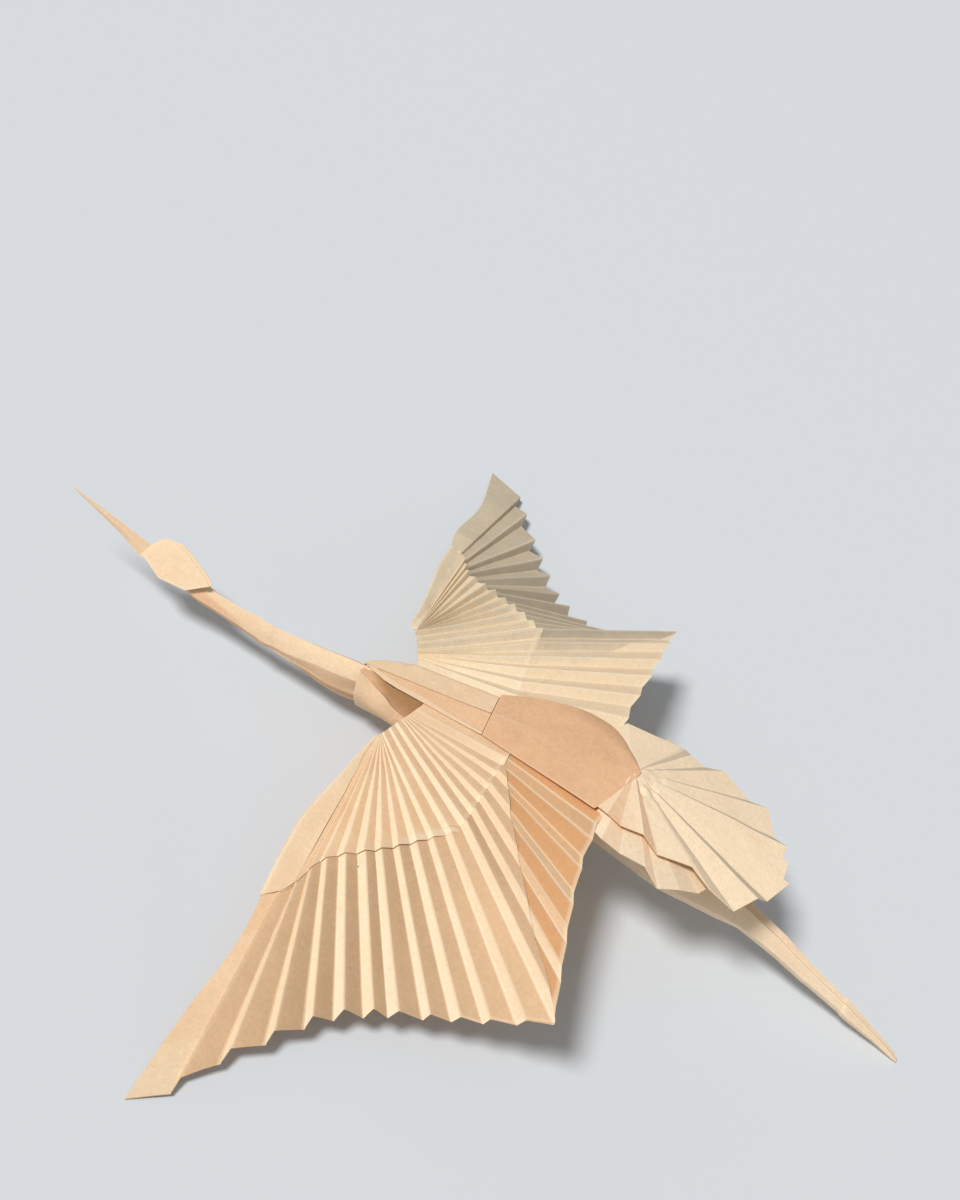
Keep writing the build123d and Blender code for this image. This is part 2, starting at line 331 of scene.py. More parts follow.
wingSides = {
    "wingNear": {
        "mirror": -1, "shift": 3.1, "seed": 4,
        "deep": 1.2, "narrow": 0.3, "rootDeep": 1, "overLift": 0.8,
        # the gap in tone between narrow and wide pleat faces is painted shade: here the wide faces are
        # darker
        "outerPliesAndShade": (1, 2.95), "coverPliesAndShade": (1.05, 1.95), "beyondPliesAndShade": (1.4, 4),    # narrow, wide faces
        "tipPliesAndShade": 2, "besidePlies": 1.75, "besideShare": 0.85, "besideFrom": 8.5,
        "stripPliesAndShade": (1.95, 1.72, 1.45), "leadPliesAndShade": (1.3, 1.65), "edgePlies": 0.25,
        "flatten": [(12, 1), (14, 0.45)], "calm": [(5.5, 1), (8.5, 0.4)],      # fade to the body and corner
        "teeth": (0, 0.138, 0.255, 0.366, 0.447, 0.522, 0.583, 0.668, 0.74, 0.815, 0.898, 1),
        "notch": [(1, 4.05), (2, 3.4), (3, 2.8), (5, 2), (8, 1.4), (12, 1.05), (18, 1)],
        "tip": (-1.2, 166.9, -31.1),
        "rear": [(9.2, 158.7, -31.2), (17.4, 144, -29), (26.1, 132.6, -27.7), (40.7, 114.1, -27.8),
                 (54.8, 105, -27.3), (72.7, 98, -25), (90.4, 94.5, -17.8), (100.5, 93.9, -10.6)],
        "inner": [(100.5, 93.9, -10.6), (96.8, 78.4, -7.1), (91.1, 52.6, -1.9), (88.9, 28.1, 1.1),
                  (89.7, 15, 1.8)],
        "crimp": [(3.9, 94.3, -15.2), (9.5, 89.5, -14), (15, 76.5, -9.5), (24.2, 69.4, -6.3),
                  (37.4, 60.1, -2.7), (50.5, 49.3, 0.9)],
        "crimpEnd": (53.3, 9, 1.2),
        "lead": [(11.6, 26.2, -0.4), (9.3, 35.7, -1.7), (7.3, 46.6, -3.8), (3.6, 62.8, -7.3), (3, 71, -9),
                 (3.9, 94.3, -15.2)],
        "leadOuter": [(3.9, 94.3, -15.2), (4.6, 108.4, -19.3), (2, 130.8, -24.5), (-1.2, 166.9, -31.1)],
        "shoulder": (12.1, 26.6, -0.3), "rootBody": (20.6, 3.6, 0.7),
    },
    "wingFar": {
        "mirror": 1, "shift": -3.1, "seed": 9,
        "deep": -1.9, "narrow": 0.42, "rootDeep": 2.4, "overLift": 0.08,
        # on the far wing the narrow faces are darker and the tones below one ply are grey: painted shade on
        # a wing that droops away from the light
        "outerPliesAndShade": (0, 0.25), "coverPliesAndShade": (0.5, 1.1), "beyondPliesAndShade": (1.05, 1.3),
        "tipPliesAndShade": 0.25, "besidePlies": 1.25, "besideShare": 1, "besideFrom": 12,
        "stripPliesAndShade": (0.6, 0.35, 0.25), "leadPliesAndShade": (0.8, 0.6), "edgePlies": 0,
        "flatten": [(12, 1), (14, 0.7)], "calm": [(9, 1), (11.5, 0.6)],
        "teeth": (0, 0.105, 0.262, 0.363, 0.442, 0.535, 0.614, 0.69, 0.765, 0.84, 0.92, 1),
        "notch": [(1, 6.2), (3, 5.5), (5, 4.3), (8, 4.2), (11, 1.5), (18, 1.2)],
        "tip": (-1.4, 168.3, -31.3),
        "rear": [(13.7, 161.2, -32.1), (21, 148.5, -30.5), (28.1, 134.8, -28.4), (40, 117.8, -28.3),
                 (53, 102.5, -26.6), (71, 97.5, -25.5), (86, 99, -20.8), (93.6, 103.1, -15.7)],
        "inner": [(93.6, 103.1, -15.7), (92.8, 84, -8.6), (91.3, 56, -2.5), (90, 33, 0.7), (90.2, 15, 1.8)],
        "crimp": [(2.9, 96.3, -15.8), (9, 91, -14.3), (15, 78.5, -10), (24, 71.6, -7),
                  (37, 63.5, -3.5), (49.4, 55.1, -0.7)],
        "crimpEnd": (53.5, 9, 1.2),
        "lead": [(9.9, 26.9, -0.7), (8.4, 29.2, -1), (7.7, 34.7, -1.8), (7.3, 43.4, -3.2), (5.7, 58.5, -6.3),
                 (3.6, 77.2, -10.4), (2.9, 96.3, -15.8)],
        "leadOuter": [(2.9, 96.3, -15.8), (0.9, 108.7, -19.1), (2.6, 136, -25.7), (0.6, 155.3, -29.4),
                      (-1.4, 168.3, -31.3)],
        "shoulder": (10.6, 27.5, -0.6), "rootBody": (20.6, 3.6, 0.7),
    },
}


def placeWing(points, side):  # mirrored for the near wing, then turned and shifted a little as folded
    a = radians(wingFold["yawDeg"])
    x, y, z = np.moveaxis(points, -1, 0)
    y = y * side["mirror"]
    return np.stack([x * cos(a) - y * sin(a) + side["shift"], x * sin(a) + y * cos(a), z], -1)


def tableAt(table, at):  # straight between the (place, value) rows of a table
    return np.interp(at, *np.array(table).T)


def makeWing(name):
    side, fold = wingSides[name], wingFold
    rng = np.random.default_rng(side["seed"])
    last = fold["rearPleats"] + fold["innerPleats"]
    pairs = np.arange(1, last)
    opened = np.minimum(pairs / fold["openFrom"], 1)
    creaseAt = np.concatenate([[0], np.stack([pairs, pairs + side["narrow"] * opened], 1).ravel(), [last]])
    creaseSide = np.concatenate([[0], np.stack([-opened, opened], 1).ravel(), [0]])
    creaseSide = np.sign(creaseSide) * np.sqrt(np.abs(creaseSide))
    creaseSide = creaseSide * (1 + rng.normal(0, fold["liftJitter"], len(creaseAt)))
    creaseShift = np.abs(np.sign(creaseSide)) * rng.normal(0, fold["placeJitter"], len(creaseAt))
    creaseShift *= np.concatenate([[0], np.repeat(opened, 2), [0]])
    wideCuts, narrowCuts = np.array(fold["wideCuts"]), np.array(fold["narrowCuts"])
    starts, widths = creaseAt[:-1], np.diff(creaseAt)
    u = np.concatenate([start + width * (narrowCuts if k % 2 else wideCuts)
                        for k, (start, width) in enumerate(zip(starts, widths))] + [[last]])
    k = np.clip(np.searchsorted(creaseAt, u, side="right") - 1, 0, len(widths) - 1)
    along = ((u - starts[k]) / widths[k]) ** np.where(k % 2, 1, fold["bow"])
    level = creaseSide[k] + (creaseSide[k + 1] - creaseSide[k]) * along
    wide = np.where(k % 2, 0.0, 1.0)
    notchShare = np.interp(u, creaseAt, np.concatenate([[0], np.tile([0.0, 1.0], len(pairs)), [0]]))
    place = u + np.interp(u, creaseAt, creaseShift)
    toCrease = np.abs(u[:, None] - creaseAt[None, 1:-1]).min(1)
    wear = np.clip(1 - toCrease / fold["foldWidth"], 0, 1)
    up = np.array([0, 0, 1.0])
    shoulder, body, tip = (np.array(side[key]) for key in ("shoulder", "rootBody", "tip"))
    first = np.array(side["rear"][0])

    def rearRun(at):
        return np.interp(at, 1 + np.arange(fold["rearPleats"]), side["teeth"])

    def innerRun(at):
        return np.clip((at - fold["rearPleats"]) / fold["innerPleats"], 0, 1)

    def endAt(at):  # pleat ends: tip to first tooth, along the rear edge, then along the inner edge
        onRear = np.where((at < 1)[:, None], tip + (first - tip) * np.clip(at, 0, 1)[:, None],
                          curveThrough(side["rear"], rearRun(at)))
        onInner = curveThrough(side["inner"], innerRun(at))
        return np.where((at <= fold["rearPleats"])[:, None], onRear, onInner)

    def crimpAt(at):
        onOuter = curveThrough(side["crimp"], at / fold["rearPleats"])
        onInner = curveThrough([side["crimp"][-1], side["crimpEnd"]], innerRun(at))
        return np.where((at <= fold["rearPleats"])[:, None], onOuter, onInner)

    def rootAt(at):  # roots crowd at the shoulder
        share = tableAt(fold["roots"], at)
        lead = np.array(side["lead"][0])
        return np.where((at < 1)[:, None], lead + (shoulder - lead) * np.clip(at, 0, 1)[:, None],
                        shoulder + (body - shoulder) * share[:, None])

    def inset(a, at, edge, low, high):  # moves the leading edge from its straight line to its own curve
        straight = low + (high - low) * a[:, None]
        return (curveThrough(edge, a) - straight)[:, None] * np.clip(1 - at, 0, 1)[None, :, None]

    def upperSheet(a, at):  # inner section: straight from root to crimp
        root, crimp = rootAt(at), crimpAt(at)
        line = root + (crimp - root) * a[:, None, None]
        return line + inset(a, at, side["lead"], np.array(side["lead"][0]), np.array(side["lead"][-1]))

    def uneven(grid):
        slow = ripple(grid, side["seed"], fold["unevenSize"], fold["uneven"])
        fine = ripple(grid, side["seed"] + 1, fold["fineSize"], fold["fine"])
        return (slow + fine)[..., None] * up

    crimp, root, end = crimpAt(place), rootAt(place), endAt(place)
    notch = notchShare * tableAt(side["notch"], place)
    inward = crimp - end
    end = end + inward / np.linalg.norm(inward, axis=1)[:, None] * notch[:, None]
    back = (root - crimp) / np.linalg.norm(root - crimp, axis=1)[:, None]
    tuck, step = (tableAt(fold[key], u)[:, None] for key in ("tuck", "step"))
    tucked = crimp + back * tuck - up * step
    lifts = ("rootLift", "crimpLift", "edgeLift")
    rootLift, crimpLift, edgeLift = (fold[key] * side["deep"] for key in lifts)
    rootLift *= side["rootDeep"]
    flatten, calm = (tableAt(side[key], u) for key in ("flatten", "calm"))

    def upper(a):
        lift = (rootLift + (crimpLift - rootLift) * a[:, None]) * level
        return upperSheet(a, place) + (lift * (flatten + (1 - flatten) * a[:, None] ** 3))[..., None] * up

    def outer(b):  # outer section: straight from under the crimp to the rear edge
        lift = (crimpLift + (edgeLift * calm - crimpLift) * b[:, None]) * level
        lead = np.array(side["leadOuter"])
        edge = inset(b, u, lead, lead[0], lead[-1])
        return tucked + (end - tucked) * b[:, None, None] + edge + lift[..., None] * up

    a = np.linspace(0, 1, fold["innerRows"])
    b = np.linspace(0, 1, fold["outerRows"])
    top = upper(a)
    edge = top[-1]
    folded = np.stack([edge - back * 0.12 - up * step * 0.15, edge - back * 0.06 - up * step * 0.5,
                       edge + back * tuck * 0.8 - up * step * 0.7])
    grid = np.concatenate([top, folded, outer(b)])
    worn = np.broadcast_to(wear, grid.shape[:2]).copy()
    worn[len(a) - 2:len(a) + 1] = tableAt(fold["crimpWear"], u)
    worn[-2:] = np.maximum(worn[-2:], fold["edgeWear"] * (u >= fold["rearPleats"]))    # pale inner edge
    seamU, seamB = np.array(fold["seam"]).T
    seamAt = np.interp(u, seamU, seamB)
    past = np.clip((seamAt - b[:, None]) * fold["seamSharp"], -50, 50)
    beyond = 1 / (1 + np.exp(past)) * (u >= seamU[0])                          # 1 beyond the seam
    # tones of narrow and wide pleat faces: their difference is painted shade of the pleats
    outerTone, coverTone, beyondTone = (low + (high - low) * wide for low, high in
                                        (side[key] for key in ("outerPliesAndShade", "coverPliesAndShade", "beyondPliesAndShade")))
    outerTone = side["tipPliesAndShade"] + (outerTone - side["tipPliesAndShade"]) * tableAt(fold["faceShadeContrast"], u)
    beside = np.clip((u - side["besideFrom"]) / (fold["evenTo"] - side["besideFrom"]), 0, 1)
    outerTone = outerTone + (side["besidePlies"] - outerTone) * beside * side["besideShare"]
    evened = fold["beyondShare"] * np.clip((u - fold["beyondFrom"]) / fold["evenInner"], 0, 1)
    beyondTone = beyondTone + (side["beyondPliesAndShade"][1] - beyondTone) * evened
    inside = np.clip((u - fold["rearPleats"]) / fold["evenInner"], 0, 1)
    pliesAndShade = np.broadcast_to(coverTone, grid.shape[:2]).copy()
    pliesAndShade[:len(a)] += (side["besidePlies"] - pliesAndShade[:len(a)]) * inside * np.linspace(1, 0.5, len(a))[:, None]
    pliesAndShade[len(a) - 2:len(a)] += side["edgePlies"] * wide
    pliesAndShade[-len(b):] = outerTone + (beyondTone - outerTone) * beyond
    sheets = [patch(grid + uneven(grid), pliesAndShade, worn, flip=side["mirror"] > 0)]

    # a second layer over the outer section, from one pleat to the seam: it lifts toward its free edge
    over = u >= fold["overFrom"]
    share = b[:, None] * seamAt[over]
    tuckedLevel, endLevel = outer(np.zeros(1))[0][over], outer(np.ones(1))[0][over]
    layer = tuckedLevel + (endLevel - tuckedLevel) * share[..., None]
    rise = np.clip((u[over] - fold["overFrom"]) / fold["overRise"], 0, 1) ** fold["overPower"]
    layer = layer + uneven(layer) + (fold["overGap"] + side["overLift"] * rise)[None, :, None] * up
    layerWear = np.broadcast_to(wear[over], share.shape).copy()
    layerWear[-1] = fold["overWear"]
    sheets.append(patch(layer, outerTone[over], layerWear, flip=side["mirror"] > 0))

    # folded-over strip along the outer leading edge, in three laid lengths
    strip = u <= 1 + side["narrow"] * opened[0]
    lead = outer(b)[:, strip]
    lead = lead + uneven(lead) + up * fold["stripLift"]
    # strip tones: paper layers on the near wing, painted shade on the far wing
    laid = np.array(side["stripPliesAndShade"])[np.searchsorted(fold["stripCuts"], b)][:, None]
    sheets.append(patch(lead, laid, 0.0, flip=side["mirror"] > 0))

    # smooth strip over the first pleats of the inner section, rolled under at its outer edge
    across, height = np.array(fold["stripAcross"]), np.array(fold["stripHeight"])
    covered = tableAt(fold["stripPleats"], a)
    stripGrid = np.stack([upperSheet(a[k:k + 1], covered[k] * across)[0] for k in range(len(a))])
    fade = np.clip(a / 0.3, 0.1, 1)[:, None]                                   # thinner at the root
    height = height * fade + ripple(stripGrid, side["seed"] + 3, 16, fold["stripWave"])
    stripGrid = stripGrid + uneven(stripGrid) + height[..., None] * up
    stripWear = np.zeros(stripGrid.shape[:2])
    stripWear[:, 1:3] = fold["stripWear"]
    # strip tones: paper layers on the near wing, painted shade on the far wing
    leadTone = np.interp(a, (0, 1), side["leadPliesAndShade"])[:, None]
    sheets.append(patch(stripGrid, leadTone, stripWear, flip=side["mirror"] > 0))
    for sheet in sheets:
        sheet["grid"] = placeWing(sheet["grid"], side)
    return makePiece(name, sheets, thinPaper, fold["paperMm"])


makeWing("wingNear")
makeWing("wingFar")


# Folded tubes. Stations give the corners of a section; corners are joined by faces with a slight
# crown, and stations by straight or smooth runs.
def foldedTube(stations, rowCount, faceCuts=5, crown=0.0, smooth=True):
    stations = np.asarray(stations, float)
    share = np.linspace(0, 1, rowCount)
    middle = stations.mean(1)
    flow = np.concatenate([[0], np.cumsum(np.linalg.norm(np.diff(middle, axis=0), axis=1))])
    flat = stations.reshape(len(stations), -1)
    if smooth:
        rows = curveThrough(np.concatenate([flow[:, None] * 20, flat], 1), share)[:, 1:]
    else:
        rows = lineThrough(flow / flow[-1], flat, share)
    corners = rows.reshape(rowCount, stations.shape[1], 3)
    following = np.roll(corners, -1, axis=1)
    k = np.arange(faceCuts) / faceCuts
    faces = corners[:, :, None] + (following - corners)[:, :, None] * k[None, None, :, None]
    if crown:
        centre = corners.mean(1)[:, None, None]
        outward = (corners + following)[:, :, None] / 2 - centre
        outward /= np.linalg.norm(outward, axis=-1, keepdims=True) + 1e-9
        width = np.linalg.norm(following - corners, axis=-1)[:, :, None, None]
        faces = faces + outward * width * crown * (4 * k * (1 - k))[None, None, :, None]
    wear = np.broadcast_to((k == 0).astype(float), faces.shape[:3]).reshape(rowCount, -1)
    return faces.reshape(rowCount, -1, 3), wear


# Back: a hollow folded body with laid panels on top, near front, far front and rear, and a hood in
# front. The hood's stations give its flap edge, crease, side and keel.
back = {
    "ridgeRise": 5.4, "length": 98, "crownSlope": 0.07, "seamY": 0.8, "seamGap": 0.22,
    "slit": (44.5, 44.72), "nearLap": 0.15, "farLap": 0.5, "lap": 0.35,        # heights of the laid panels
    "lip": [(0, 1.5), (8, 2.2), (25, 2), (44, 0.9)], "lipRise": 0.22, "lipBlend": 0.3,
    "farStart": -1.2, "farDrop": 1.6, "farDropFrom": 0.75, "rearEnd": 97.6,
    "roll": 1.2, "rollFrom": 0.78, "rollX": (58, 20), "ridgeWidth": 1.2, "ridgeEnd": (70, 20),
    "nearPlies": 1.85, "lipPaler": 0.55, "farPlies": 1.3, "rearPlies": 2.1, "rollShadePlies": 0.35,
    "frontCells": (60, 30), "rearCells": (90, 40), "paperMm": 0.4,
    "bodyX": [0.3, 6, 15, 25, 45, 56, 91, 98],
    "nearFlank": [(2.2, -1.6), (3.0, -3.8), (2.4, -6.2), (6.4, -6), (9, -6), (9.6, -7), (12.5, -7),
                  (6, -7)],
    "farFlank": [(3.8, -1), (7.4, -2.4), (10.4, -2.6), (9.8, -3.6), (9, -6), (9.6, -7), (12.5, -7),
                 (6, -7)],
    "belly": [(4.5, -8.5), (5.4, -9.5), (6, -10.5), (6, -11.5), (5.6, -13), (5.6, -14), (5.8, -15),
              (4, -15)],
    "keelFront": 18.4, "keelFall": 0.08,
    "nearEdge": [(-0.4, -0.8), (2.1, 0.9), (4.9, 2.1), (7.7, 3.3), (12.4, 4.5), (15.6, 5),
                 (21.7, 6), (44.8, 9.6), (53, 11.8), (88, 21.2), (97.7, 0.4)],
    "farFront": [(-1.2, 1.2), (-0.3, 2.6), (1.7, 4.8), (4.2, 6.9), (8.7, 9.2), (14.4, 11.4),
                 (27, 11.6), (44.6, 11.6), (46.5, 12.5)],
    "farRear": [(44, 11.3), (55.5, 16.9), (63, 19.2), (70.8, 20.8), (78, 20.9), (84, 19),
                (89, 15), (93, 10), (96, 5), (97.7, 0.6)],
    "hood": [[(-0.3, 0.5, -0.1), (-1.7, -3, 0.1), (-1, -4.6, -8.1), (0, -0.4, -18.1)],
             [(2.1, -0.7, -0.1), (3, -4, -1.8), (3.6, -5.4, -9), (3.6, -0.4, -18.4)],
             [(4.9, -1.9, 0), (6.4, -4.8, -3.1), (7, -6.2, -9.9), (7, -0.4, -18.5)],
             [(7.7, -3.1, 0.1), (9.7, -5.6, -3.8), (10, -6.8, -10.8), (10, -0.4, -18.8)],
             [(12.4, -4.3, 0.25), (12.2, -6.2, -5.4), (12.6, -7.2, -11.4), (12.6, -0.4, -19)],
             [(15.6, -4.8, 0.4), (14.8, -6.8, -6.6), (15.5, -7.6, -12), (15.5, -0.4, -19.2)],
             [(22, -5.8, 0.65), (20, -7.6, -8), (21, -8, -13), (21, -0.4, -19.6)]],
    "creaseStep": (0, 0.35, -0.3),
    # hoodShadePlies: painted shade on the inner hood sheet, deepening under the flap
    "hoodShadePlies": (1.8, 1.7), "hoodOuter": (1.4, 0.4), "breastPlies": 1.8,
}


def ridgeHeight(x):
    return back["ridgeRise"] * x / back["length"]


def panel(x, y, lift):  # a laid panel: the ridge height less the crown to each side
    z = ridgeHeight(x) - back["crownSlope"] * np.abs(y) + lift
    grid = np.stack([x, y, z], -1)
    wave = ripple(grid, 21, 30, 0.22) + ripple(grid, 22, 10, 0.08)
    return grid + np.array([0, 0, 1.0]) * wave[..., None]


def makeBack():
    nearX, nearW = np.array(back["nearEdge"]).T
    seam, (slitFront, slitRear) = back["seamY"], back["slit"]
    shape = back["frontCells"]
    v = np.linspace(0, 1, shape[0])[:, None]
    w = np.linspace(0, 1, shape[1])[None, :]
    patches = []

    # near front panel, with a lip along its free edge
    x = np.broadcast_to(nearX[0] + (slitFront - nearX[0]) * v, shape)
    edge = -np.interp(x, nearX, nearW)
    y = edge + (seam - back["seamGap"] - edge) * w
    onLip = np.clip((tableAt(back["lip"], x) - (y - edge)) / back["lipBlend"] + 0.5, 0, 1)
    grid = panel(x, y, back["nearLap"])
    grid[..., 2] += back["lipRise"] * onLip
    wear = np.zeros(shape)
    wear[:, :2] = 0.7
    patches.append(patch(grid, back["nearPlies"] - back["lipPaler"] * onLip, wear))

    # far front panel, laid over the near one, its far edge bent down
    start, dropFrom = back["farStart"], back["farDropFrom"]
    x = np.broadcast_to(start + (slitFront - start) * v, shape)
    far = tableAt(back["farFront"], x)
    grid = panel(x, seam + (far - seam) * w, back["farLap"])
    bent = np.clip((w - dropFrom) / (1 - dropFrom), 0, 1) ** 2
    grid[..., 2] += ripple(grid, 24, 6, 0.3) * w - back["farDrop"] * bent
    wear = np.zeros(shape)
    wear[:, :1] = 0.6
    patches.append(patch(grid, back["farPlies"], wear))

    # rear panel, its far edge rolled down toward the tail and darkened there with painted shade
    shape = back["rearCells"]
    v = np.linspace(0, 1, shape[0])[:, None]
    w = np.linspace(0, 1, shape[1])[None, :]
    farLine = curveThrough(back["farRear"], np.linspace(0, 1, 300))
    x = np.broadcast_to(slitRear + (back["rearEnd"] - slitRear) * v, shape)
    near, far = -np.interp(x, nearX, nearW), np.interp(x, *farLine.T)
    wear = np.zeros(shape)
    wear[:1] = 0.5
    wear[:, :1] = 0.5
    grid = panel(x, near + (far - near) * w, back["lap"])
    rollX, rollRun = back["rollX"]
    rolled = np.clip((w - back["rollFrom"]) / (1 - back["rollFrom"]), 0, 1)
    rolled = rolled * np.clip((x - rollX) / rollRun, 0, 1)
    grid[..., 2] -= back["roll"] * rolled ** 2
    ridgeX, ridgeRun = back["ridgeEnd"]
    ridge = np.clip(1 - np.abs(grid[..., 1] - seam) / back["ridgeWidth"], 0, 1)
    ridge = ridge * np.clip((ridgeX - grid[..., 0]) / ridgeRun, 0, 1)
    # painted shade where the far edge rolls down
    pliesAndShade = back["rearPlies"] + back["rollShadePlies"] * rolled
    patches.append(patch(grid, pliesAndShade, np.maximum(wear, 0.55 * ridge)))
    return makePiece("back", patches, thickPaper, back["paperMm"])


def makeBreast():
    x = np.array(back["bodyX"], float)
    near, far, belly = (np.array(back[key]) for key in ("nearFlank", "farFlank", "belly"))
    nearTop = np.maximum(tableAt(back["nearEdge"], x) - 0.8, 1.4)              # a little inside the panels
    farTop = np.maximum(tableAt(back["farFront"][:-1] + back["farRear"][1:], x) - 1.2, 1.4)
    ridge = ridgeHeight(x) - 0.8
    keel = -back["keelFront"] - back["keelFall"] * x
    zero = np.zeros_like(x)
    corners = np.stack([
        np.stack([x, zero, ridge], -1),
        np.stack([x, -nearTop, ridge - back["crownSlope"] * nearTop], -1),
        np.stack([x, -near[:, 0], near[:, 1]], -1),
        np.stack([x, -belly[:, 0], belly[:, 1]], -1),
        np.stack([x, -0.35 + zero, keel], -1),
        np.stack([x, 0.35 + zero, keel], -1),
        np.stack([x, belly[:, 0], belly[:, 1]], -1),
        np.stack([x, far[:, 0], far[:, 1]], -1),
        np.stack([x, farTop, ridge - back["crownSlope"] * farTop], -1),
    ], 1)
    grid, wear = foldedTube(corners, 90, 6, 0.05, smooth=False)
    grid = grid + ripple(grid, 31, 22, 0.3)[..., None]
    patches = [patch(grid, back["breastPlies"], wear * 0.5, wrap=True, caps=True)]

    # hood on the near side, in two sheets
    stations = np.array(back["hood"], float)
    t = np.linspace(0, 1, 40)[:, None]
    c = np.linspace(0, 1, 24)[None, :]
    flap, crease, side, keel = (curveThrough(stations[:, k], t[:, 0]) for k in range(stations.shape[1]))
    inner = flap[:, None] + (crease + np.array(back["creaseStep"]) - flap)[:, None] * c[..., None]
    # painted shade on the inner hood sheet, darkest under the flap
    shade = (1 - 0.6 * c) * np.clip(0.35 + 1.3 * t, 0, 1)                      # darkest under the flap
    patches.append(patch(inner, back["hoodShadePlies"][0] + back["hoodShadePlies"][1] * shade))
    outer = np.stack([curveThrough([top, mid, low], c[0]) for top, mid, low in zip(crease, side, keel)])
    outer = outer + np.array([0, 1.0, 0]) * ripple(outer, 32, 14, 0.3)[..., None]
    wear = np.zeros(outer.shape[:2])
    wear[:1] = wear[:, :1] = 0.8
    patches.append(patch(outer, back["hoodOuter"][0] + back["hoodOuter"][1] * t, wear))
    return makePiece("breast", patches, thickPaper)


makeBack()
makeBreast()

# Neck. Stations give X, ridge height, half width, side fold height and underside.
neck = {
    "stations": [(7, -0.3, 2.6, -4.8, -14.5), (-1, 0.3, 3.8, -4.8, -17.4), (-16, -0.1, 3.8, -5.3, -15.5),
                 (-36, 0.1, 2.8, -6.4, -9.9), (-50, 1.5, 2.6, -3.2, -7.0), (-65, 5.6, 3.6, 1.2, -3.1),
                 (-72, 9.4, 3.2, 5.2, 1)],
    "shift": [(-65, 1), (-48, 0)],                                             # to the far side at the head
    # painted shade: the near underside is darker, turns up at the head, and is paler between the side corner
    # and the long fold
    "pliesAndShade": 1.15, "underShadePlies": 2.3, "underColumns": (9, 16),                 # the near underside is darker
    "twistX": (-66, -42), "twistColumn": (2, 8), "twistShadePlies": 0.8,            # and turns up at the head
    "wrinkleX": -38, "wrinkleWidth": 5, "wrinkle": 0.5,
    "foldColumn": 12, "foldFrom": -40, "foldRun": 10, "foldDepth": 0.4,        # a long fold behind the bend
    "foldPaler": 0.5, "rows": 120, "faceCuts": 8, "crown": 0.1,
}


def diamond(stations):  # ridge, near side, underside, far side at each station
    x, top, half, side, low = np.array(stations, float).T
    zero = np.zeros_like(x)
    return np.stack([np.stack([x, zero, top], -1), np.stack([x, -half, side], -1),
                     np.stack([x, zero, low], -1), np.stack([x, half, side], -1)], 1)


def makeNeck():
    grid, wear = foldedTube(diamond(neck["stations"]), neck["rows"], neck["faceCuts"], neck["crown"])
    grid[..., 1] += tableAt(neck["shift"], grid[..., 0])
    bend = np.exp(-((grid[..., 0] - neck["wrinkleX"]) / neck["wrinkleWidth"]) ** 2)
    wave = ripple(grid, 41, 26, 0.5) + ripple(grid, 42, 7, 0.2) + ripple(grid, 43, 5, neck["wrinkle"]) * bend
    grid = grid + np.array([0, 1, 0.6]) * wave[..., None]
    pliesAndShade = np.full(grid.shape[:2], neck["pliesAndShade"])
    (first, last), fold = neck["underColumns"], neck["foldColumn"]
    # painted shade on the near underside, its turn at the head and its paler band by the fold
    pliesAndShade[:, first:last] = neck["underShadePlies"]
    twist = np.arange(first) - np.interp(grid[:, :1, 0], neck["twistX"], neck["twistColumn"])
    pliesAndShade[:, :first] += neck["twistShadePlies"] * np.clip(twist + 0.5, 0, 1)
    lower = np.clip((grid[:, fold, 0] - neck["foldFrom"]) / neck["foldRun"], 0, 1)
    grid[:, fold] += lower[:, None] * np.array([0, -neck["foldDepth"], 0])
    pliesAndShade[:, first:fold] -= neck["foldPaler"] * lower[:, None]
    wear[:, fold] = lower
    return makePiece("neck", [patch(grid, pliesAndShade, wear * 0.5, wrap=True, caps=True, flip=True)], thickPaper)


# Head and bill. The bill's stations give its top, near, low and far corner.
head = {
    "middle": (-71.5, 0, 7.5), "leanDeg": 40, "layer": 0.5, "gap": 0.05, "behind": (0.6, 0.9),
    "bulge": 0.35, "pliesAndShade": 1.1, "billPlies": 1.35,
    "bill": [[(-77, 1.4, 9.2), (-77.5, -0.2, 7.6), (-78, -1.4, 5.8), (-77.5, 0.2, 7.4)],
             [(-82.6, 1.7, 9.6), (-83.8, -0.3, 7.9), (-85, -1.5, 5.7), (-83.8, 0.5, 7.3)],
             [(-94.8, 1.0, 14.4), (-94.2, -0.4, 13.1), (-93.6, -0.3, 10.6), (-94.2, 1.0, 11.9)],
             [(-112.6, 0, 21.2), (-112.5, -0.25, 20.9), (-112.5, 0, 20.6), (-112.5, 0.25, 20.9)]],
    "outline": [(-12.9, -1.2), (-10.6, 3.4), (-8.4, 5.8), (-2, 6.1), (2.3, 4.2), (9.7, 0), (12.6, -2.2),
                (5.5, -6.7), (-4.4, -6.5), (-8.1, -4.3)],
}


